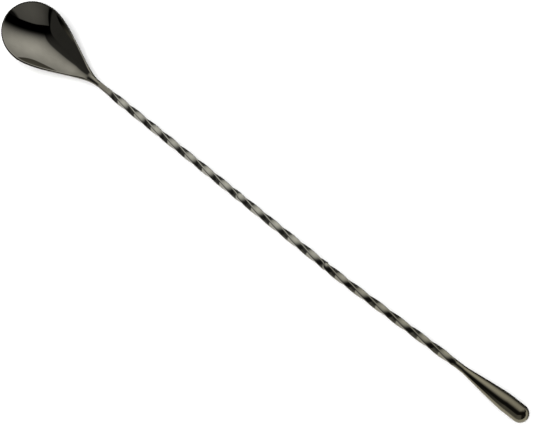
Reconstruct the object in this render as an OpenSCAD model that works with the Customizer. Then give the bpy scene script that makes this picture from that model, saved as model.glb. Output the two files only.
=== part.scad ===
// Bar spoon: a pressed teardrop bowl, a twisted square stem and a turned teardrop counterweight.
// The three steel pieces are brazed end to end, each stem end a round tenon in a blind round socket.
// The spoon lies along X with the bowl at -X, its hollow facing +Z, resting on the plane Z = 0.
// Places along the spoon are measured from the bowl's tip.

/* [Overall] */
// Length from the bowl's tip to the counterweight's end
overall_l = 300; // [290:1:400]

/* [Bowl] */
// Greatest width of the bowl
bowl_w = 29.4; // [24:0.1:33]
// Distance from the tip to the widest place
widest_at = 17.9; // [16:0.1:21]
// Distance from the tip to where the plain neck begins
throat_at = 57.7; // [54:0.1:57.8]
// Length of the outline's handle at the tip, across the spoon
tip_handle = 6.9; // [5:0.1:11]
// Length of the outline's handle on the tip side of the widest place
crown_handle = 11.4; // [6:0.1:13]
// Length of the outline's handle on the neck side of the widest place
flank_handle = 11; // [9:0.1:16]
// Length of the outline's handle at the throat
throat_handle = 9.1; // [4:0.1:12]
// Thickness of the pressed wall
wall_t = 1.1; // [0.8:0.05:1.6]
// Height of the tip's rim above the stem's axis
tip_rise = 5.6; // [3:0.1:7]
// Power that shapes the rim's fall from the tip to the neck
rim_power = 1.25; // [0.8:0.05:2]
// Power of the bowl's width that the hollow's depth follows near the tip
tip_power = 2; // [1.5:0.05:2.5]
// Power of the bowl's width that the hollow's depth follows near the neck
flank_power = 1.55; // [1.1:0.05:2]
// Power that the hollow's section follows across the spoon
cross_power = 2; // [1.6:0.05:2.6]
// Length over which the pressed wall thickens into the neck
gather_l = 14; // [10:0.5:20]
// Diameter of the plain round neck
neck_d = 2.82; // [2.6:0.02:3.4]
// Distance from the tip to the joint between the neck and the stem
neck_joint_at = 58; // [58:0.1:60]

/* [Twisted stem] */
// Width of the square bar across its flats
bar_w = 2.88; // [2.8:0.02:4]
// Width of the bar's slimmer shank, next to the neck
shank_w = 2.46; // [2.4:0.02:2.8]
// Distance from the tip to where the shank has widened to the full bar
shank_to = 72; // [66:0.5:80]
// Radius of the bar's rounded corners
corner_r = 0.5; // [0.3:0.05:0.9]
// Length of stem over which the bar turns by a quarter
quarter_turn_l = 10.68; // [7:0.01:20]
// Distance from the tip to where the twist begins
twist_from = 66.6; // [62:0.1:72]
// Distance from the tip to a place where one corner points straight sideways
corner_at = 72.65; // [70:0.05:90]
// Distance from the tip to the first tight spot, a short stretch that is twisted harder
tight_1_at = 145.7; // [100:0.1:160]
// Length of the first tight spot
tight_1_l = 2.1; // [1.5:0.1:6]
// Turn added by the first tight spot, in degrees
tight_1_turn = 21.2; // [0:0.1:60]
// Distance from the tip to the second tight spot
tight_2_at = 195.7; // [180:0.1:230]
// Length of the second tight spot
tight_2_l = 2.6; // [1.5:0.1:6]
// Turn added by the second tight spot, in degrees
tight_2_turn = 45.7; // [0:0.1:60]
// Length over which the square fades to round at each end
fade_l = 2.2; // [1:0.1:6]
// Sideways bow that hand twisting leaves in the bar
bow = 1.6; // [0:0.1:2]
// Distance from the tip to where the bow is greatest
bow_at = 206.8; // [180:0.2:220]

/* [Counterweight] */
// Length of the counterweight
weight_l = 33.7; // [30:0.1:45]
// Greatest diameter of the counterweight
weight_d = 7.5; // [6:0.02:10]
// Diameter of its small end, where it meets the stem
weight_neck_d = 2.94; // [2.8:0.02:3.6]
// Length of its plain cylindrical barrel, before the round end
barrel_l = 6.1; // [2:0.1:8]
// Length of its plain small end, before it begins to swell
collar_l = 2.3; // [1:0.1:4]
// Length of the profile's handle where the swell begins
root_handle = 1.7; // [0.5:0.1:8]
// Length of the profile's handle where the swell meets the barrel
shoulder_handle = 4.3; // [0.5:0.1:8]

/* [Brazed joints] */
// Diameter of the stem's turned tenons
tenon_d = 1.6; // [1.2:0.05:1.7]
// Thickness of the braze between a tenon and its socket
braze_t = 0.1; // [0.05:0.01:0.12]
// Depth of the socket in the neck
neck_socket_l = 3.5; // [2.5:0.1:4]
// Depth of the bore in the counterweight
weight_bore_l = 10; // [6:0.5:12]
// Length of the braze between a tenon's end and its socket's floor
braze_pad_l = 0.4; // [0.2:0.1:0.8]

/* [Hidden] */
$fn = 96;

GUNMETAL = [0.36, 0.35, 0.32];
BRAZE = [0.82, 0.78, 0.62];

// The counterweight's round barrel sets the height of the stem's axis over the table.
axis_z = weight_d / 2;
weight_joint_at = overall_l - weight_l;
socket_d = tenon_d + 2 * braze_t;

// The bowl is a bent sheet: a middle surface with half the wall on each side of it.
half_wall = wall_t / 2;
neck_r = neck_d / 2;
// The sheet thickens into the round neck from here to the throat.
gather_at = throat_at - gather_l;
// Angle that the top of the round neck spreads over, to each side of its crest.
NECK_SPREAD = 45;
// Stations along the tip arc, the flank arc and the plain neck.
TIP_STATIONS = 18;
FLANK_STATIONS = 40;
NECK_STATIONS = 1;
STATIONS = TIP_STATIONS + FLANK_STATIONS + NECK_STATIONS;
// Steps across each face of the sheet, and around each rounded lip.
FACE_STEPS = 20;
LIP_STEPS = 6;
LOOP = 2 * FACE_STEPS + 2 * LIP_STEPS;
STEP = 0.001;
// The sheet's slope at the very tip is taken over this much of the tip arc.
TIP_STEP = 0.02;

// Twisted bar: rings along it, and points around a quarter of each ring.
RING_L = 1;
CORNER_STEPS = 4;
// Plain round bar left at the neck's end and at the counterweight's end.
NECK_ROUND_L = 0.3;
WEIGHT_ROUND_L = 1;
// How softly the two straight halves of the bowed bar run into each other.
BOW_EASE = 0.05;

// Steps along the counterweight's swell.
SWELL_STEPS = 24;
// Cuts run this far past the face they open through, and tenons start this far inside the bar.
OVERRUN = 1;

function unit(v) = v / norm(v);
function mix(a, b, k) = a + (b - a) * k;
function ramp(x, from, to) = let (k = min(1, max(0, (x - from) / (to - from)))) k * k * (3 - 2 * k);
function cubic(p, t) = pow(1 - t, 3) * p[0] + 3 * pow(1 - t, 2) * t * p[1]
    + 3 * (1 - t) * t * t * p[2] + pow(t, 3) * p[3];
function mirrored(p) = [p.x, -p.y, p.z];

// ---- bowl: outline, section and middle surface ----

TIP_ARC = [
    [0, 0],
    [0, tip_handle],
    [widest_at - crown_handle, bowl_w / 2],
    [widest_at, bowl_w / 2]
];
FLANK_ARC = [
    [widest_at, bowl_w / 2],
    [widest_at + flank_handle, bowl_w / 2],
    [throat_at - throat_handle, neck_r],
    [throat_at, neck_r]
];

// Outline of one side for u from 0 to 3: the tip arc, the flank arc, then the straight neck.
function outline(u) = u <= 1 ? cubic(TIP_ARC, u)
    : u <= 2 ? cubic(FLANK_ARC, u - 1)
    : [mix(throat_at, neck_joint_at, u - 2), neck_r];
function half_thickness(s) = mix(half_wall, neck_r, ramp(s, gather_at, throat_at));
// The middle surface's edge lies half a thickness inside the outline, square to it.
function edge(u) = let (
        here = outline(u),
        along = unit(outline(u + STEP) - here),
        inset = half_thickness(here.x)
    ) [here.x + inset * along.y, here.y - inset * along.x];
function rim_z(s) = axis_z
    + tip_rise * pow((1 + cos(180 * min(1, s / throat_at))) / 2, rim_power);
function depth_share(e) = e.y <= 0 ? 0
    : pow(e.y / (bowl_w / 2 - half_wall), mix(tip_power, flank_power, ramp(e.x, 0, 2 * widest_at)));
// The deepest hollow whose underside still clears the table.
hollow_depth = min([for (i = [1:TIP_STATIONS + FLANK_STATIONS / 2])
    let (e = edge(station_u(i))) (rim_z(e.x) - half_wall) / depth_share(e)]);
function station_u(i) = i <= TIP_STATIONS ? i / TIP_STATIONS
    : i <= TIP_STATIONS + FLANK_STATIONS ? 1 + (i - TIP_STATIONS) / FLANK_STATIONS
    : 2 + (i - TIP_STATIONS - FLANK_STATIONS) / NECK_STATIONS;
// Point of the middle surface: v runs from -1 at one edge, through 0 at the valley, to 1 at the other.
function middle(u, v) = let (
        e = edge(u),
        dip = hollow_depth * depth_share(e) * (1 - pow(abs(v), cross_power))
    ) [e.x, max(0, e.y) * v, rim_z(e.x) - dip];
function tip_normal() = let (run = middle(TIP_STEP, 0) - middle(0, 0)) unit([-run.z, 0, run.x]);
function surface_normal(u, v) = u > 2 - STEP ? [0, 0, 1]
    : u == 0 ? tip_normal()
    : let (
        along = middle(u + STEP, v) - middle(u, v),
        across = middle(u, v + STEP) - middle(u, v - STEP)
    ) norm(across) < STEP * STEP ? [0, 0, 1] : unit(cross(along, across));
function lip_outward(u) = u == 0 ? cross(tip_normal(), [0, 1, 0])
    : cross(surface_normal(u, 1), unit(middle(u + STEP, 1) - middle(u, 1)));

// Points on the +Y half of a station, mirrored by the caller for the -Y half.
function spread(u) = NECK_SPREAD * ramp(edge(u).x, gather_at, throat_at);
function face_point(u, v, side) = let (
        tilt = spread(u) * v,
        n = surface_normal(u, v)
    ) middle(u, v) + half_thickness(outline(u).x) * (side * cos(tilt) * n + sin(tilt) * [0, 1, 0]);
function lip_point(u, k) = let (
        sweep = mix(spread(u), 180 - spread(u), k)
    ) middle(u, 1) + half_thickness(outline(u).x)
        * (cos(sweep) * surface_normal(u, 1) + sin(sweep) * lip_outward(u));

function station_loop(u) = concat(
    [for (j = [0:FACE_STEPS]) let (v = 1 - 2 * j / FACE_STEPS)
        v >= 0 ? face_point(u, v, 1) : mirrored(face_point(u, -v, 1))],
    [for (j = [1:LIP_STEPS - 1]) mirrored(lip_point(u, j / LIP_STEPS))],
    [for (j = [0:FACE_STEPS]) let (v = -1 + 2 * j / FACE_STEPS)
        v >= 0 ? face_point(u, v, -1) : mirrored(face_point(u, -v, -1))],
    [for (j = [LIP_STEPS - 1:-1:1]) lip_point(u, j / LIP_STEPS)]
);
// The tip is one lip arc that both sides share.
TIP_POINTS = [for (k = [0:LIP_STEPS]) lip_point(0, k / LIP_STEPS)];
function tip_index(j) = j <= FACE_STEPS ? 0
    : j < FACE_STEPS + LIP_STEPS ? j - FACE_STEPS
    : j <= 2 * FACE_STEPS + LIP_STEPS ? LIP_STEPS
    : LOOP - j;
function loop_index(i, j) = LIP_STEPS + 1 + (i - 1) * LOOP + j % LOOP;

module bowl_shell() {
    points = concat(TIP_POINTS, [for (i = [1:STATIONS]) each station_loop(station_u(i))]);
    tip_faces = [for (j = [0:LOOP - 1])
        let (a = tip_index(j), b = tip_index((j + 1) % LOOP))
            each concat(
                [[a, loop_index(1, j), loop_index(1, j + 1)]],
                a == b ? [] : [[a, loop_index(1, j + 1), b]]
            )];
    side_faces = [for (i = [1:STATIONS - 1], j = [0:LOOP - 1])
        each [
            [loop_index(i, j), loop_index(i + 1, j), loop_index(i + 1, j + 1)],
            [loop_index(i, j), loop_index(i + 1, j + 1), loop_index(i, j + 1)]
        ]];
    end_face = [[for (j = [LOOP - 1:-1:0]) loop_index(STATIONS, j)]];
    polyhedron(points = points, faces = concat(tip_faces, side_faces, end_face));
}

// ---- stem: twisted bar ----

// Turn of the bar about its axis; a bar at 0 has its flats square to Y and Z.
function bar_turn(s) = 90 * (max(s, twist_from) - corner_at) / quarter_turn_l - 45
    + tight_1_turn * ramp(s, tight_1_at, tight_1_at + tight_1_l)
    + tight_2_turn * ramp(s, tight_2_at, tight_2_at + tight_2_l);
// Size of the bar's section there, against the full bar.
function bar_scale(s) = mix(shank_w / bar_w, 1, ramp(s, neck_joint_at, shank_to));
// 1 where the bar is fully square, 0 where it is round.
function squareness(s) = ramp(s, neck_joint_at + NECK_ROUND_L, neck_joint_at + fade_l)
    - ramp(s, weight_joint_at - WEIGHT_ROUND_L - fade_l, weight_joint_at - WEIGHT_ROUND_L);

// How far the bar's middle lies to the -Y side of the spoon's axis: two straight halves, softly joined.
function bow_y(s) = let (
        rise = (s - neck_joint_at) / (bow_at - neck_joint_at),
        fall = (weight_joint_at - s) / (weight_joint_at - bow_at)
    ) bow * (rise + fall - norm([rise - fall, BOW_EASE])) / 2;

// Distance from the axis to the rounded square's surface, a degrees from the middle of a flat.
flat_half_angle = atan((bar_w / 2 - corner_r) / (bar_w / 2));
function square_reach(a) = abs(a) <= flat_half_angle
    ? bar_w / 2 / cos(a)
    : let (c = bar_w / 2 - corner_r, b = abs(a))
        c * (cos(b) + sin(b)) + sqrt(pow(corner_r, 2) - pow(c * (cos(b) - sin(b)), 2));
// Directions of one quarter of a ring: the middle of a flat, then along a corner.
QUARTER_ANGLES = concat([0], [for (k = [0:CORNER_STEPS])
    mix(flat_half_angle, 90 - flat_half_angle, k / CORNER_STEPS)]);
RING = 4 * len(QUARTER_ANGLES);

function ring_points(s) = let (
        end_r = mix(neck_r, weight_neck_d / 2, ramp(s, neck_joint_at, weight_joint_at)),
        square = squareness(s)
    ) [for (q = [0:3], a = QUARTER_ANGLES)
        let (
            reach = mix(end_r, bar_scale(s) * square_reach(a <= 45 ? a : a - 90), square),
            turn = bar_turn(s) + 90 * q + a
        ) [s, reach * cos(turn) - bow_y(s), reach * sin(turn)]];

module twisted_bar() {
    rings = ceil((weight_joint_at - neck_joint_at) / RING_L);
    points = [for (i = [0:rings]) each ring_points(mix(neck_joint_at, weight_joint_at, i / rings))];
    side_faces = [for (i = [0:rings - 1], j = [0:RING - 1])
        let (a = i * RING + j, b = i * RING + (j + 1) % RING)
            each [[a, a + RING, b], [b, a + RING, b + RING]]];
    end_faces = [
        [for (j = [0:RING - 1]) j],
        [for (j = [RING - 1:-1:0]) rings * RING + j]
    ];
    polyhedron(points = points, faces = concat(side_faces, end_faces));
}

// ---- shapes about the stem's axis ----

// Moves a shape that is drawn by its distance from the tip, on the axis, to its place.
module in_place() {
    translate([-overall_l / 2, 0, axis_z]) children();
}

// Cylinder along the spoon, from place s for length l.
module rod(s, l, d) {
    translate([s, 0, 0]) rotate([0, 90, 0]) cylinder(h = l, d = d);
}

// ---- pieces ----

module bowl() {
    color(GUNMETAL) difference() {
        translate([-overall_l / 2, 0, 0]) bowl_shell();
        in_place() rod(neck_joint_at - neck_socket_l, neck_socket_l + OVERRUN, socket_d);
    }
}

module twisted_stem() {
    neck_tenon_l = neck_socket_l - braze_pad_l;
    weight_tenon_l = weight_bore_l - braze_pad_l;
    color(GUNMETAL) in_place() union() {
        twisted_bar();
        rod(neck_joint_at - neck_tenon_l, neck_tenon_l + OVERRUN, tenon_d);
        rod(weight_joint_at - OVERRUN, weight_tenon_l + OVERRUN, tenon_d);
    }
}

module teardrop_weight() {
    barrel_from = overall_l - weight_d / 2 - barrel_l;
    swell_from = weight_joint_at + collar_l;
    swell = [
        [swell_from, weight_neck_d / 2],
        [swell_from + root_handle, weight_neck_d / 2],
        [barrel_from - shoulder_handle, weight_d / 2],
        [barrel_from, weight_d / 2]
    ];
    profile = concat(
        [[weight_joint_at, 0], [weight_joint_at, weight_neck_d / 2]],
        [for (k = [0:SWELL_STEPS]) cubic(swell, k / SWELL_STEPS)],
        [[barrel_from + barrel_l, weight_d / 2], [barrel_from + barrel_l, 0]]
    );
    color(GUNMETAL) in_place() difference() {
        union() {
            rotate([0, 90, 0]) rotate_extrude() polygon([for (p = profile) [p.y, p.x]]);
            translate([barrel_from + barrel_l, 0, 0]) sphere(d = weight_d);
        }
        rod(weight_joint_at - OVERRUN, weight_bore_l + OVERRUN, socket_d);
    }
}

// Braze fills the socket around the tenon and past its end.
module bowl_braze() {
    color(BRAZE) in_place() difference() {
        rod(neck_joint_at - neck_socket_l, neck_socket_l, socket_d);
        rod(neck_joint_at - neck_socket_l + braze_pad_l, neck_socket_l, tenon_d);
    }
}

module weight_braze() {
    color(BRAZE) in_place() difference() {
        rod(weight_joint_at, weight_bore_l, socket_d);
        rod(weight_joint_at - OVERRUN, weight_bore_l + OVERRUN - braze_pad_l, tenon_d);
    }
}

bowl();
twisted_stem();
teardrop_weight();
bowl_braze();
weight_braze();
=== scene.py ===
import math

import bpy
import numpy as np
from mathutils import Matrix, Vector


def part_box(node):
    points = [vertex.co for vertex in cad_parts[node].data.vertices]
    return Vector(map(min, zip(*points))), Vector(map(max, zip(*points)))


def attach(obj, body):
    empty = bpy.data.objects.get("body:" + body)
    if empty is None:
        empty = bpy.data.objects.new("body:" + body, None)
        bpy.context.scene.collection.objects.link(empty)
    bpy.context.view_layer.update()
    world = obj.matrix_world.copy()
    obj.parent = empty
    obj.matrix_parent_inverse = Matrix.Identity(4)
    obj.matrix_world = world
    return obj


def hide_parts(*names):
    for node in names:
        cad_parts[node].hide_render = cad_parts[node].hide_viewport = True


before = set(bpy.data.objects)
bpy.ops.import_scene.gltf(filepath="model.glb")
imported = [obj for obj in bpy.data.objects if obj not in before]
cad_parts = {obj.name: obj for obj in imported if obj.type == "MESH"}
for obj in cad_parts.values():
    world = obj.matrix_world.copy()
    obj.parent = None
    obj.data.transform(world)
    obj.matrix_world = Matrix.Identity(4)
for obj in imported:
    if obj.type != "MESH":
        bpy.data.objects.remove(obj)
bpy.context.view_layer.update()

# Bar spoon in dark gunmetal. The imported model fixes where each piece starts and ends; this script draws
# the same bowl, twisted stem and counterweight as finer, smooth surfaces there, and lights them on a
# pale table. Shapes are worked out in millimetres, measured along the spoon from the bowl's tip.

MM = 0.001

# ---- places from the frame, in millimetres ----

BOWL_LOW, BOWL_HIGH = (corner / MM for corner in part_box("bowl"))
WEIGHT_LOW, WEIGHT_HIGH = (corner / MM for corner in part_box("teardrop_weight"))
TIP_X = BOWL_LOW.x
NECK_JOINT = BOWL_HIGH.x - TIP_X
WEIGHT_JOINT = WEIGHT_LOW.x - TIP_X
OVERALL = WEIGHT_HIGH.x - TIP_X
WEIGHT_R = (WEIGHT_HIGH.z - WEIGHT_LOW.z) / 2
AXIS_Z = (WEIGHT_HIGH.z + WEIGHT_LOW.z) / 2
HALF_BOWL = (BOWL_HIGH.y - BOWL_LOW.y) / 2

# ---- the spoon's own proportions, as designed ----

WIDEST_AT = 17.9
THROAT_AT = 57.7
GATHER_AT = 43.7
TIP_HANDLE = 6.9
CROWN_HANDLE = 11.4
FLANK_HANDLE = 11.0
THROAT_HANDLE = 9.1
HALF_WALL = 0.55
TIP_RISE = 5.6
RIM_POWER = 1.25
TIP_POWER = 2.0
FLANK_POWER = 1.55
CROSS_POWER = 2.0
NECK_R = 1.41
NECK_SPREAD = math.radians(45)
# Painted shade darkens the bowl's rim fully up to here, and fades out by GATHER_AT.
RIM_PAINTED_SHADE_TO = WIDEST_AT + 4

BAR_W = 2.88
SHANK_W = 2.46
SHANK_TO = 72.0
CORNER_R = 0.5
QUARTER_TURN = 10.68
TWIST_FROM = 66.6
CORNER_AT = 72.65
# Where each tight spot of the twist starts, its length, and its extra turn in degrees.
TIGHT_SPOTS = ((145.7, 2.1, 21.2), (195.7, 2.6, 45.7))
FADE = 2.2
NECK_ROUND = 0.3
WEIGHT_ROUND = 1.0
BOW = 1.6
BOW_AT = 206.8
BOW_EASE = 0.05

WEIGHT_NECK_R = 1.47
BARREL = 6.1
COLLAR = 2.3
ROOT_HANDLE = 1.7
SHOULDER_HANDLE = 4.3

TENON_R = 0.8
SOCKET_R = 0.9
NECK_SOCKET = 3.5
WEIGHT_BORE = 10.0
BRAZE_PAD = 0.4

# ---- how finely each piece is drawn ----

STEP = 0.001
TIP_STATIONS, FLANK_STATIONS, NECK_STATIONS = 70, 140, 8
FACE_STEPS, LIP_STEPS = 80, 12
RING_SPACING = 0.25
FLAT_STEPS, CORNER_STEPS = 8, 10
SWELL_STEPS, BARREL_STEPS, DOME_STEPS = 80, 8, 40
WEIGHT_SIDES = 128
SMOOTH_BELOW = math.radians(40)


# ---- small mathematics ----

def mix(a, b, k):
    return a + (b - a) * k


def ramp(x, start, end):
    k = np.clip((np.asarray(x, float) - start) / (end - start), 0, 1)
    return k * k * (3 - 2 * k)


def unit(v):
    return v / np.linalg.norm(v, axis=-1, keepdims=True)


def cubic(points, t):
    p = np.asarray(points, float)
    t = np.asarray(t, float)[..., None]
    return (1 - t) ** 3 * p[0] + 3 * (1 - t) ** 2 * t * p[1] + 3 * (1 - t) * t**2 * p[2] + t**3 * p[3]


def mesh_object(name, points, faces, **shares):
    """A smooth-shaded closed mesh from points along the spoon, in millimetres from the tip.

    Faces are given clockwise as seen from outside, and are turned over here. Each further argument is
    a share from 0 to 1 at each point, which the material reads by its name."""
    placed = (np.asarray(points, float) + [TIP_X, 0, 0]) * MM
    mesh = bpy.data.meshes.new(name)
    mesh.from_pydata(placed.tolist(), [], [face[::-1] for face in faces])
    for share, values in shares.items():
        mesh.attributes.new(share, "FLOAT", "POINT").data.foreach_set("value", values)
    mesh.validate()
    mesh.shade_smooth()
    mesh.set_sharp_from_angle(angle=SMOOTH_BELOW)
    piece = bpy.data.objects.new(name, mesh)
    bpy.context.scene.collection.objects.link(piece)
    return piece


def ring_faces(first, rings, count):
    """Quads between rings of points that follow one another along +X."""
    return [
        (first + i * count + j, first + (i + 1) * count + j,
         first + (i + 1) * count + (j + 1) % count, first + i * count + (j + 1) % count)
        for i in range(rings - 1) for j in range(count)
    ]


def capped_rings(rings, count):
    """The faces of a closed piece: its rings, and its two end centres, whose points follow the rings'."""
    low, high = rings * count, rings * count + 1
    last = (rings - 1) * count
    faces = ring_faces(0, rings, count)
    faces += [(low, j, (j + 1) % count) for j in range(count)]
    faces += [(last + j, high, last + (j + 1) % count) for j in range(count)]
    return faces


# ---- bowl ----

TIP_ARC = ((0, 0), (0, TIP_HANDLE), (WIDEST_AT - CROWN_HANDLE, HALF_BOWL), (WIDEST_AT, HALF_BOWL))
FLANK_ARC = ((WIDEST_AT, HALF_BOWL), (WIDEST_AT + FLANK_HANDLE, HALF_BOWL),
             (THROAT_AT - THROAT_HANDLE, NECK_R), (THROAT_AT, NECK_R))


def outline(u):
    """The bowl's outline on one side: u from 0 to 1 is the tip arc, to 2 the flank, to 3 the neck."""
    u = np.asarray(u, float)
    neck = np.stack([mix(THROAT_AT, NECK_JOINT, u - 2), np.full_like(u, NECK_R)], -1)
    on_tip = (u <= 1)[..., None]
    on_flank = (u <= 2)[..., None]
    return np.where(on_tip, cubic(TIP_ARC, u), np.where(on_flank, cubic(FLANK_ARC, u - 1), neck))


def half_thickness(s):
    return mix(HALF_WALL, NECK_R, ramp(s, GATHER_AT, THROAT_AT))


def edge(u):
    """The middle surface's edge, half a thickness inside the outline."""
    here = outline(u)
    along = unit(outline(u + STEP) - here)
    inset = half_thickness(here[..., 0])[..., None]
    return here + inset * np.stack([along[..., 1], -along[..., 0]], -1)


def rim_z(s):
    fall = (1 + np.cos(np.pi * np.minimum(1, s / THROAT_AT))) / 2
    return AXIS_Z + TIP_RISE * fall**RIM_POWER


def depth_share(e):
    power = mix(TIP_POWER, FLANK_POWER, ramp(e[..., 0], 0, 2 * WIDEST_AT))
    return np.maximum(e[..., 1], 1e-9) / (HALF_BOWL - HALF_WALL), power


def hollow_depth():
    """The deepest hollow whose underside still clears the table, tried along most of the outline."""
    e = edge(np.linspace(0.1, 1.6, 400))
    share, power = depth_share(e)
    return np.min((rim_z(e[:, 0]) - HALF_WALL) / share**power)


HOLLOW_DEPTH = hollow_depth()


def middle(u, v):
    """The sheet's middle surface: v is -1 and 1 at its edges and 0 along the valley."""
    e = edge(u)
    share, power = depth_share(e)
    dip = HOLLOW_DEPTH * share**power * (1 - np.abs(v) ** CROSS_POWER)
    return np.stack([e[..., 0], np.maximum(0, e[..., 1]) * v, rim_z(e[..., 0]) - dip], -1)


def surface_normal(u, v):
    along = middle(u + STEP, v) - middle(u, v)
    across = middle(u, v + STEP) - middle(u, v - STEP)
    n = np.cross(along, across)
    flat = np.linalg.norm(n, axis=-1, keepdims=True) < 1e-12
    n = np.where(flat, [0, 0, 1], n)
    plain = (u > 2 - STEP)[..., None]
    return np.where(plain, [0.0, 0.0, 1.0], unit(n))


def lip(u, normal, outward, steps):
    """The rounded edge from the upper face's edge to the lower face's edge."""
    centre = middle(u, np.ones_like(u))
    spread = NECK_SPREAD * ramp(edge(u)[..., 0], GATHER_AT, THROAT_AT)
    reach = half_thickness(outline(u)[..., 0])[..., None]
    turns = [mix(spread, math.pi - spread, k / steps)[..., None] for k in range(steps + 1)]
    return [centre + reach * (np.cos(t) * normal + np.sin(t) * outward) for t in turns]


def face(u, v, side):
    """A point on the hollow's side (side 1) or the underside (side -1), for v at or above 0."""
    tilt = (NECK_SPREAD * ramp(edge(u)[..., 0], GATHER_AT, THROAT_AT) * v)[..., None]
    reach = half_thickness(outline(u)[..., 0])[..., None]
    return middle(u, v) + reach * (side * np.cos(tilt) * surface_normal(u, v)
                                   + np.sin(tilt) * np.array([0.0, 1.0, 0.0]))


def make_bowl():
    stations = np.concatenate([
        np.linspace(0, 1, TIP_STATIONS + 1)[1:], np.linspace(1, 2, FLANK_STATIONS + 1)[1:],
        np.linspace(2, 3, NECK_STATIONS + 1)[1:]
    ])
    flip = np.array([1.0, -1.0, 1.0])
    grid_v = np.abs(np.linspace(1, -1, 2 * FACE_STEPS + 1))
    right = np.linspace(1, -1, 2 * FACE_STEPS + 1) >= 0

    def face_rows(side):
        u = np.repeat(stations[:, None], len(grid_v), 1)
        v = np.repeat(grid_v[None], len(stations), 0)
        rows = face(u, v, side)
        return np.where(right[None, :, None], rows, rows * flip)

    top = face_rows(1)
    bottom = face_rows(-1)[:, ::-1]
    ones = np.ones_like(stations)
    rim_normal = surface_normal(stations, ones)
    rim_along = unit(middle(stations + STEP, ones) - middle(stations, ones))
    arcs = np.stack(lip(stations, rim_normal, np.cross(rim_normal, rim_along), LIP_STEPS), 1)[:, 1:-1]
    loops = np.concatenate([top, arcs * flip, bottom, arcs[:, ::-1]], 1)

    start = np.array([0.0])
    fall = middle(start + 20 * STEP, start) - middle(start, start)
    tip_normal = unit(np.stack([-fall[:, 2], 0 * fall[:, 0], fall[:, 0]], -1))
    tip = np.concatenate(lip(start, tip_normal, np.cross(tip_normal, [0.0, 1.0, 0.0]), LIP_STEPS))

    count = loops.shape[1]
    across = 2 * FACE_STEPS
    first = LIP_STEPS + 1

    def tip_index(j):
        j %= count
        if j <= across:
            return 0
        if j < across + LIP_STEPS:
            return j - across
        if j <= 2 * across + LIP_STEPS:
            return LIP_STEPS
        return count - j

    faces = []
    for j in range(count):
        a, b = tip_index(j), tip_index(j + 1)
        near, far = first + j, first + (j + 1) % count
        faces.append((a, near, far) if a == b else (a, near, far, b))
    faces += ring_faces(first, len(stations), count)

    # The neck's end face and its blind socket.
    outer = loops[-1]
    angle = np.arctan2(outer[:, 2] - AXIS_Z, outer[:, 1])
    socket = np.stack([np.full(count, NECK_JOINT), SOCKET_R * np.cos(angle),
                       AXIS_Z + SOCKET_R * np.sin(angle)], -1)
    floor_ring = socket - [NECK_SOCKET, 0, 0]
    points = np.concatenate([tip, loops.reshape(-1, 3), socket, floor_ring,
                             [[NECK_JOINT - NECK_SOCKET, 0, AXIS_Z]]])
    last = first + (len(stations) - 1) * count
    faces += ring_faces(last, 3, count)
    centre = last + 3 * count
    faces += [(last + 2 * count + j, centre, last + 2 * count + (j + 1) % count) for j in range(count)]
    along_lip = np.sin(np.pi * np.arange(1, LIP_STEPS) / LIP_STEPS)
    around = np.concatenate([np.zeros(across + 1), along_lip, np.zeros(across + 1), along_lip])
    # Painted shade: a share that darkens the colour all around the bowl's lip, fading out along the flank
    # before the neck.
    gathered = ramp(outline(stations)[:, 0], RIM_PAINTED_SHADE_TO, GATHER_AT)
    rim = np.zeros(len(points))
    rim[1:first - 1] = along_lip
    rim[first:first + len(stations) * count] = ((1 - gathered)[:, None] * around[None]).ravel()
    return mesh_object("bowl_polished", points, faces, rim=rim)


# ---- twisted stem ----

def bar_turn(s):
    turn = 90 * (np.maximum(s, TWIST_FROM) - CORNER_AT) / QUARTER_TURN - 45
    for start, length, extra in TIGHT_SPOTS:
        turn = turn + extra * ramp(s, start, start + length)
    return np.radians(turn)


def bow_y(s):
    """How far the bar's middle lies to the -Y side of the axis: two straight halves, softly joined."""
    rise = (s - NECK_JOINT) / (BOW_AT - NECK_JOINT)
    fall = (WEIGHT_JOINT - s) / (WEIGHT_JOINT - BOW_AT)
    return BOW * (rise + fall - np.hypot(rise - fall, BOW_EASE)) / 2


def square_reach(a):
    """Distance from the bar's axis to its rounded square, at angle a from the middle of a flat."""
    half = BAR_W / 2
    inner = half - CORNER_R
    a = np.abs(a)
    on_flat = a <= math.atan(inner / half)
    swing = np.maximum(CORNER_R**2 - (inner * (np.cos(a) - np.sin(a))) ** 2, 0)
    return np.where(on_flat, half / np.cos(a), inner * (np.cos(a) + np.sin(a)) + np.sqrt(swing))


def bar_scale(s):
    """Size of the bar's section, against the full bar: its shank next to the neck is slimmer."""
    return mix(SHANK_W / BAR_W, 1, ramp(s, NECK_JOINT, SHANK_TO))


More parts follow.
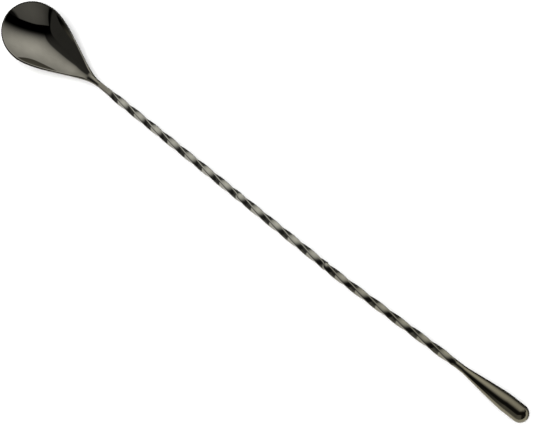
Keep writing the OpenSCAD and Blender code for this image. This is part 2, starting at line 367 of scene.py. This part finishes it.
def make_stem():
    half = BAR_W / 2
    flat = math.atan((half - CORNER_R) / half)
    across_flat = np.linspace(-flat, flat, FLAT_STEPS + 1)[:-1]
    around_corner = np.linspace(flat, math.pi / 2 - flat, CORNER_STEPS + 1)[:-1]
    quarter = np.concatenate([across_flat, around_corner])
    angles = np.concatenate([quarter + q * math.pi / 2 for q in range(4)])
    folded = (angles + math.pi / 4) % (math.pi / 2) - math.pi / 4

    s = np.append(np.arange(NECK_JOINT, WEIGHT_JOINT, RING_SPACING), WEIGHT_JOINT)
    round_from = WEIGHT_JOINT - WEIGHT_ROUND
    square = (ramp(s, NECK_JOINT + NECK_ROUND, NECK_JOINT + FADE)
              - ramp(s, round_from - FADE, round_from))[:, None]
    round_r = mix(NECK_R, WEIGHT_NECK_R, ramp(s, NECK_JOINT, WEIGHT_JOINT))[:, None]
    reach = mix(round_r, bar_scale(s)[:, None] * square_reach(folded)[None], square)
    turn = bar_turn(s)[:, None] + angles[None]

    def ring(at, radius, heading):
        return np.stack([np.full(len(angles), at), radius * np.cos(heading),
                         AXIS_Z + radius * np.sin(heading)], -1)

    body = np.stack([np.repeat(s[:, None], len(angles), 1), reach * np.cos(turn) - bow_y(s)[:, None],
                     AXIS_Z + reach * np.sin(turn)], -1)
    neck_end = NECK_JOINT - NECK_SOCKET + BRAZE_PAD
    weight_end = WEIGHT_JOINT + WEIGHT_BORE - BRAZE_PAD
    rings = [ring(neck_end, TENON_R, turn[0]), ring(NECK_JOINT, TENON_R, turn[0]), *body,
             ring(WEIGHT_JOINT, TENON_R, turn[-1]), ring(weight_end, TENON_R, turn[-1])]
    points = np.concatenate([*rings, [[neck_end, 0, AXIS_Z], [weight_end, 0, AXIS_Z]]])
    count = len(angles)
    on_corner = ramp(np.abs(folded), flat, math.pi / 4)
    wear = np.zeros(len(points))
    wear[2 * count:(2 + len(s)) * count] = (square * on_corner[None]).ravel()
    return mesh_object("stem_polished", points, capped_rings(len(rings), count), wear=wear)


# ---- counterweight ----

def make_weight():
    dome_at = OVERALL - WEIGHT_R
    barrel_at = dome_at - BARREL
    swell_at = WEIGHT_JOINT + COLLAR
    swell = ((swell_at, WEIGHT_NECK_R), (swell_at + ROOT_HANDLE, WEIGHT_NECK_R),
             (barrel_at - SHOULDER_HANDLE, WEIGHT_R), (barrel_at, WEIGHT_R))
    bore_floor = WEIGHT_JOINT + WEIGHT_BORE
    dome = np.linspace(0, math.pi / 2, DOME_STEPS + 1)[1:-1]
    profile = np.concatenate([
        [(bore_floor, SOCKET_R), (WEIGHT_JOINT, SOCKET_R), (WEIGHT_JOINT, WEIGHT_NECK_R)],
        cubic(swell, np.linspace(0, 1, SWELL_STEPS + 1)),
        [(mix(barrel_at, dome_at, k), WEIGHT_R) for k in np.linspace(0, 1, BARREL_STEPS + 1)[1:]],
        np.stack([dome_at + WEIGHT_R * np.sin(dome), WEIGHT_R * np.cos(dome)], -1),
    ])
    heading = np.arange(WEIGHT_SIDES) * 2 * math.pi / WEIGHT_SIDES
    rings = np.stack([
        np.repeat(profile[:, 0][:, None], WEIGHT_SIDES, 1),
        profile[:, 1][:, None] * np.cos(heading)[None],
        AXIS_Z + profile[:, 1][:, None] * np.sin(heading)[None],
    ], -1)
    points = np.concatenate([rings.reshape(-1, 3), [[bore_floor, 0, AXIS_Z], [OVERALL, 0, AXIS_Z]]])
    return mesh_object("weight_polished", points, capped_rings(len(profile), WEIGHT_SIDES))


# ---- materials ----

class Nodes:
    """Adds nodes to a tree; inputs are given in order, as values or as other nodes' outputs."""

    def __init__(self, tree):
        self.tree = tree

    def add(self, kind, *inputs, **settings):
        node = self.tree.nodes.new(kind)
        for name, value in settings.items():
            setattr(node, name, value)
        for socket, value in zip(node.inputs, inputs):
            self.set(socket, value)
        return node

    def set(self, socket, value):
        if isinstance(value, bpy.types.NodeSocket):
            self.tree.links.new(value, socket)
        elif value is not None:
            socket.default_value = value

    def math(self, operation, *inputs):
        return self.add("ShaderNodeMath", *inputs, operation=operation).outputs[0]

    def dot(self, vector, constant):
        return self.add("ShaderNodeVectorMath", vector, constant, operation="DOT_PRODUCT").outputs["Value"]

    def curve(self, value, stops):
        """A curve through (place, height) or (place, colour) stops, level beyond its ends."""
        low, high = stops[0][0], stops[-1][0]
        share = self.add("ShaderNodeMapRange", value, low, high, 0.0, 1.0).outputs[0]
        node = self.add("ShaderNodeValToRGB", share)
        node.color_ramp.interpolation = "LINEAR"
        ramp_stops = node.color_ramp.elements
        while len(ramp_stops) < len(stops):
            ramp_stops.new(0.5)
        for stop, (place, height) in zip(ramp_stops, stops):
            colour = height if isinstance(height, tuple) else (height,) * 3
            stop.position = (place - low) / (high - low)
            stop.color = (*colour, 1)
        return node.outputs[0]

    def grain(self, place, stretch, detail=3.0):
        """Noise from 0 to 1 with about so many cells a metre along X, Y and Z."""
        scaled = self.add("ShaderNodeVectorMath", place, stretch, operation="MULTIPLY").outputs[0]
        noise = self.add("ShaderNodeTexNoise")
        self.set(noise.inputs["Vector"], scaled)
        self.set(noise.inputs["Scale"], 1.0)
        self.set(noise.inputs["Detail"], detail)
        return noise.outputs["Fac"]

    def bump(self, height, strength, distance, below=None):
        """A bump of so many metres; below is the output of a bump that it lies on."""
        node = self.add("ShaderNodeBump")
        self.set(node.inputs["Height"], height)
        self.set(node.inputs["Strength"], strength)
        self.set(node.inputs["Distance"], distance)
        self.set(node.inputs["Normal"], below)
        return node.outputs["Normal"]


def principled(name):
    """A new material, its shader, and its nodes."""
    material = bpy.data.materials.new(name)
    material.use_nodes = True
    return material, material.node_tree.nodes["Principled BSDF"], Nodes(material.node_tree)


# The plating's colour and its share of clear mirror, against haze, drift along the spoon, as polishing
# and plating by hand leave them. Places are in metres along X, from the bowl to the counterweight.
PLATING = ((-0.108, (0.297, 0.287, 0.248)), (-0.096, (0.24, 0.23, 0.19)), (-0.085, (0.26, 0.25, 0.21)),
           (-0.079, (0.385, 0.38, 0.335)), (0.034, (0.385, 0.38, 0.33)), (0.05, (0.315, 0.305, 0.255)),
           (0.114, (0.29, 0.28, 0.22)), (0.12, (0.255, 0.238, 0.172)))
CLEAR = ((-0.092, 1.0), (-0.084, 0.983), (0.034, 0.983), (0.05, 0.992), (0.12, 0.99))
# Painted shade: the colour is darkened around the bowl's rim and lip, standing in for the dark reflection
# along the rim.
RIM_PAINTED_SHADE = 0.2
# How much paler and rougher the bar's rubbed corners are.
CORNER_PALER = 0.1
CORNER_ROUGHER = 0.012

# Cells of noise a metre along X, Y and Z.
CLOUD_CELLS = (110, 170, 170)
RUB_CELLS = (500, 900, 900)
SMUDGE_CELLS = (140, 240, 240)
SCRATCH_CELLS = (160, 5200, 5200)
POLISH_CELLS = (180, 420, 420)
BRAZE_CELLS = (2600, 2600, 2600)
CARD_TOOTH_CELLS = (1400, 1400, 1400)


def gunmetal():
    """Dark mirror plating: faint smudges, fine polishing scratches, corners rubbed a little paler, and
    painted shade darkening the bowl's rim.
    """
    material, shader, n = principled("gunmetal")
    place = n.add("ShaderNodeTexCoord").outputs["Object"]
    along = n.add("ShaderNodeSeparateXYZ", place).outputs["X"]
    wear = n.add("ShaderNodeAttribute", attribute_name="wear").outputs["Fac"]

    cloud = n.curve(n.grain(place, CLOUD_CELLS), ((0.3, 0.93), (0.7, 1.07)))
    rubbed = n.math("MULTIPLY", wear, n.curve(n.grain(place, RUB_CELLS), ((0.38, 0.0), (0.62, 1.0))))
    paler = n.math("MULTIPLY_ADD", rubbed, CORNER_PALER, 1.0)
    # Painted shade: the colour falls to a fifth of itself around the bowl's lip.
    rim = n.add("ShaderNodeAttribute", attribute_name="rim").outputs["Fac"]
    painted_shade = n.curve(rim, ((0.0, 1.0), (0.3, 0.95), (0.6, RIM_PAINTED_SHADE), (1.0, RIM_PAINTED_SHADE)))
    tone = n.math("MULTIPLY", n.math("MULTIPLY", cloud, paler), painted_shade)
    plating = n.curve(along, PLATING)
    colour = n.add("ShaderNodeVectorMath", plating, operation="SCALE")
    n.set(colour.inputs["Scale"], tone)
    n.set(shader.inputs["Base Color"], colour.outputs[0])
    n.set(shader.inputs["Metallic"], n.curve(along, CLEAR))

    smudge = n.curve(n.grain(place, SMUDGE_CELLS, 5.0), ((0.45, 0.0), (0.75, 0.035)))
    hairlines = n.grain(place, SCRATCH_CELLS, 2.0)
    hair_rough = n.curve(hairlines, ((0.55, 0.018), (0.75, 0.04)))
    rub_rough = n.math("MULTIPLY", rubbed, CORNER_ROUGHER)
    roughness = n.math("ADD", n.math("ADD", smudge, hair_rough), rub_rough)
    n.set(shader.inputs["Roughness"], roughness)

    polish = n.bump(n.grain(place, POLISH_CELLS, 1.0), 0.35, 0.000006)
    n.set(shader.inputs["Normal"], n.bump(hairlines, 0.12, 0.000002, polish))
    return material


def braze():
    """Silver braze: pale, slightly yellow, with the small pits and dull grain of cooled metal."""
    material, shader, n = principled("silver_braze")
    place = n.add("ShaderNodeTexCoord").outputs["Object"]
    cooled = n.grain(place, BRAZE_CELLS, 4.0)
    colour = n.curve(cooled, ((0.35, (0.62, 0.55, 0.38)), (0.65, (0.82, 0.78, 0.62))))
    n.set(shader.inputs["Base Color"], colour)
    shader.inputs["Metallic"].default_value = 1.0
    n.set(shader.inputs["Roughness"], n.curve(cooled, ((0.3, 0.42), (0.7, 0.26))))
    n.set(shader.inputs["Normal"], n.bump(cooled, 0.4, 0.00001))
    return material


def floor_material():
    """Plain pale card, with a very fine tooth."""
    material, shader, n = principled("table")
    place = n.add("ShaderNodeTexCoord").outputs["Object"]
    tooth = n.grain(place, CARD_TOOTH_CELLS, 4.0)
    n.set(shader.inputs["Base Color"], n.curve(tooth, ((0.3, 0.91), (0.7, 0.93))))
    n.set(shader.inputs["Roughness"], n.curve(tooth, ((0.3, 0.7), (0.7, 0.8))))
    n.set(shader.inputs["Normal"], n.bump(tooth, 0.05, 0.00004))
    return material


# ---- camera ----

# Lengths are in millimetres. The aim is along the spoon from its tip, and across it.
CAMERA_TILT = math.radians(20)
CAMERA_SIDE = math.radians(-1.54)
CAMERA_ROLL = math.radians(38.55)
CAMERA_DISTANCE = 517.4
CAMERA_AIM = (161.75, 0.95)
SENSOR_WIDTH = 36
FOCAL_LENGTH = 81.388


def camera_axes():
    """The picture's right and up directions, and the direction back to the camera."""
    along = Vector((math.cos(CAMERA_TILT), 0, -math.sin(CAMERA_TILT)))
    upright = Vector((math.sin(CAMERA_TILT), 0, math.cos(CAMERA_TILT)))
    back = upright * math.cos(CAMERA_SIDE) + Vector((0, math.sin(CAMERA_SIDE), 0))
    across = back.cross(along)
    right = along * math.cos(CAMERA_ROLL) + across * math.sin(CAMERA_ROLL)
    up = across * math.cos(CAMERA_ROLL) - along * math.sin(CAMERA_ROLL)
    return right, up, back


def make_camera():
    right, up, back = camera_axes()
    aim = Vector((TIP_X + CAMERA_AIM[0], CAMERA_AIM[1], AXIS_Z))
    data = bpy.data.cameras.new("camera")
    data.sensor_width = SENSOR_WIDTH
    data.lens = FOCAL_LENGTH
    data.clip_start = 0.01
    data.clip_end = 100
    camera = bpy.data.objects.new("camera", data)
    spot = (aim + back * CAMERA_DISTANCE) * MM
    turn = Matrix((right, up, back)).transposed().to_4x4()
    camera.matrix_world = Matrix.Translation(spot) @ turn
    bpy.context.scene.collection.objects.link(camera)
    bpy.context.scene.camera = camera


# ---- studio ----

# The studio stands square to the picture. Each direction from the spoon has a fall, the angle from the
# camera towards the picture's top, and a side, the angle towards its right, both in degrees. The curves
# below give brightness at angles, and the table's at distances in metres.
# The softbox is a curved panel; its radius is in metres.
SOFTBOX_RADIUS = 1.0
SOFTBOX_FALL = ((12, 0.0), (17, 0.035), (21, 0.13), (27, 0.3), (33, 0.5), (40, 0.69), (48, 0.85),
                (56, 0.96), (64, 1.02), (72, 0.99), (80, 0.9), (88, 0.76), (96, 0.62), (106, 0.5))
SOFTBOX_SIDE = ((-66, 0.06), (-48, 0.07), (-45, 0.4), (-39, 0.59), (-30, 0.78), (-20, 0.93),
                (-8, 1.0), (2, 0.98), (12, 0.87), (24, 0.74), (30, 0.64), (40, 0.58), (52, 0.49),
                (57, 0.05), (74, 0.0))
# The far card hangs below the picture and has one rounded corner.
CARD_FALL = ((-118, 0.85), (-100, 0.75), (-88, 0.5), (-76, 0.24), (-62, 0.2), (-40, 0.2),
             (-15, 0.17), (-13, 0.0))
CARD_SIDE = ((-60, 0.0), (-58, 0.45), (-48, 0.8), (-36, 0.95), (-25, 1.05), (-8, 0.98), (6, 0.9),
             (11, 0.06))
CARD_CORNER_AT = -15
CARD_CORNER_SPAN = 40
CARD_CORNER_DROP = 10
# Walls beyond the picture's left, which is dim, and its right.
LEFT_SIDE = ((-65, 0.056), (-62.5, 0.0))
RIGHT_SIDE = ((63, 0.0), (68, 0.6))
# The table, and the glowing cards just over it that the metal mirrors in its place, in metres: a painted
# reflection of the table.
# The dark part is painted shade; it starts at the spoon's axis, is darkest there, and ends past the
# counterweight.
CARDS_REACH = 3.0
CARDS_HEIGHT = 0.2 * MM
PAINTED_SHADE_EDGE = (-0.002, 0.002)
PAINTED_SHADE_END = (0.15, 0.165)
TABLE_PAINTED_SHADE = ((0.0, 0.04), (0.03, 0.09), (0.08, 0.2), (0.3, 0.35), (0.9, 0.7))
PALE_TABLE = 0.8
TABLE_REACH = 20
WARM_WHITE = (1.0, 0.985, 0.96, 1)
BACKDROP = (1.0, 1.0, 1.0, 1)
FILL_STRENGTH = 5.0
FILL_ANGLE = math.radians(120)


def fall_and_side(n, vector):
    """Nodes that turn a vector from the spoon's middle into the studio's two angles."""
    direction = n.add("ShaderNodeVectorMath", vector, operation="NORMALIZE").outputs[0]
    right, up, back = (n.dot(direction, axis) for axis in camera_axes())
    fall = n.math("DEGREES", n.math("ARCTAN2", up, back))
    side = n.math("DEGREES", n.math("ARCSINE", right))
    return fall, side


def make_world():
    """The studio's far, dim walls as the metal sees them, and a plain pale backdrop for the camera."""
    world = bpy.data.worlds.new("studio")
    world.use_nodes = True
    tree = world.node_tree
    tree.nodes.clear()
    n = Nodes(tree)
    fall, side = fall_and_side(n, n.add("ShaderNodeTexCoord").outputs["Generated"])
    past_corner = n.math("MAXIMUM", n.math("SUBTRACT", CARD_CORNER_AT, side), 0.0)
    drop = n.math("MULTIPLY", n.math("POWER", n.math("DIVIDE", past_corner, CARD_CORNER_SPAN), 2.0),
                  CARD_CORNER_DROP)
    card = n.math("MULTIPLY", n.curve(n.math("ADD", fall, drop), CARD_FALL), n.curve(side, CARD_SIDE))
    ends = n.math("ADD", n.curve(side, LEFT_SIDE), n.curve(side, RIGHT_SIDE))
    total = n.math("ADD", card, ends)
    seen = n.add("ShaderNodeLightPath").outputs["Is Camera Ray"]
    surroundings = n.add("ShaderNodeBackground", WARM_WHITE, total)
    backdrop = n.add("ShaderNodeBackground", BACKDROP, 1.0)
    shown = n.add("ShaderNodeMixShader", seen, surroundings.outputs[0], backdrop.outputs[0])
    n.add("ShaderNodeOutputWorld", shown.outputs[0])
    bpy.context.scene.world = world


def mirrored_panel(name, points, faces, glow):
    """A panel for the metal to mirror; it lights nothing else and isn't seen itself.

    glow(nodes, place) adds the nodes that give the panel's brightness at a place on it."""
    material = bpy.data.materials.new(name)
    material.use_nodes = True
    material.node_tree.nodes.clear()
    n = Nodes(material.node_tree)
    light = n.add("ShaderNodeEmission", WARM_WHITE, glow(n, n.add("ShaderNodeTexCoord").outputs["Object"]))
    n.add("ShaderNodeOutputMaterial", light.outputs[0])
    mesh = bpy.data.meshes.new(name)
    mesh.from_pydata(points, [], faces)
    mesh.materials.append(material)
    panel = bpy.data.objects.new(name, mesh)
    panel.visible_camera = False
    panel.visible_diffuse = False
    panel.visible_shadow = False
    bpy.context.scene.collection.objects.link(panel)


def square_corners(reach, height):
    """A level square's corners, counterclockwise from above."""
    return [(-reach, -reach, height), (reach, -reach, height), (reach, reach, height),
            (-reach, reach, height)]


def make_softbox():
    """The big curved softbox over the picture's upper side, brightest in its middle."""
    right, up, back = camera_axes()
    steps = 32
    points = []
    for i in range(steps + 1):
        fall = math.radians(mix(SOFTBOX_FALL[0][0], SOFTBOX_FALL[-1][0], i / steps))
        for j in range(steps + 1):
            side = math.radians(mix(SOFTBOX_SIDE[0][0], SOFTBOX_SIDE[-1][0], j / steps))
            level = up * math.sin(fall) + back * math.cos(fall)
            points.append((level * math.cos(side) + right * math.sin(side)) * SOFTBOX_RADIUS)
    row = steps + 1
    faces = [(i * row + j, i * row + j + 1, (i + 1) * row + j + 1, (i + 1) * row + j)
             for i in range(steps) for j in range(steps)]

    def glow(n, place):
        fall, side = fall_and_side(n, place)
        return n.math("MULTIPLY", n.curve(fall, SOFTBOX_FALL), n.curve(side, SOFTBOX_SIDE))

    mirrored_panel("softbox", points, faces, glow)


def make_painted_table_reflection():
    """Glowing cards just over the table for the metal to mirror, a painted reflection of the table:
    painted shade on the far side next to the spoon, pale elsewhere.
    """
    points = square_corners(CARDS_REACH, CARDS_HEIGHT)

    def glow(n, place):
        axes = n.add("ShaderNodeSeparateXYZ", place)
        x, y = axes.outputs["X"], axes.outputs["Y"]
        # Painted shade: the far side is darkened, most next to the spoon's axis, along the spoon's length.
        far_side = n.add("ShaderNodeMapRange", y, *PAINTED_SHADE_EDGE, 0.0, 1.0).outputs[0]
        beside = n.add("ShaderNodeMapRange", x, *PAINTED_SHADE_END, 1.0, 0.0).outputs[0]
        painted_shade_depth = n.math("SUBTRACT", n.curve(y, TABLE_PAINTED_SHADE), PALE_TABLE)
        return n.math("ADD", n.math("MULTIPLY", n.math("MULTIPLY", far_side, beside), painted_shade_depth), PALE_TABLE)

    mirrored_panel("painted_table_reflection", points, [(0, 1, 2, 3)], glow)


def make_fill():
    """A very soft sun overhead for the table and the plating's haze; the metal doesn't mirror it."""
    data = bpy.data.lights.new("fill", "SUN")
    data.angle = FILL_ANGLE
    data.energy = FILL_STRENGTH
    lamp = bpy.data.objects.new("fill", data)
    lamp.visible_glossy = False
    lamp.visible_camera = False
    bpy.context.scene.collection.objects.link(lamp)


def make_table():
    mesh = bpy.data.meshes.new("table")
    mesh.from_pydata(square_corners(TABLE_REACH, 0), [], [(0, 1, 2, 3)])
    mesh.materials.append(floor_material())
    table = bpy.data.objects.new("table", mesh)
    bpy.context.scene.collection.objects.link(table)


# ---- assembly ----

make_camera()

metal = gunmetal()
for make, node in ((make_bowl, "bowl"), (make_stem, "twisted_stem"), (make_weight, "teardrop_weight")):
    piece = make()
    piece.data.materials.append(metal)
    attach(piece, "root")
    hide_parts(node)

braze_metal = braze()
for node in ("bowl_braze", "weight_braze"):
    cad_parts[node].data.materials[0] = braze_metal

make_table()
make_painted_table_reflection()
make_softbox()
make_fill()
make_world()
bpy.context.scene.view_settings.view_transform = "Standard"
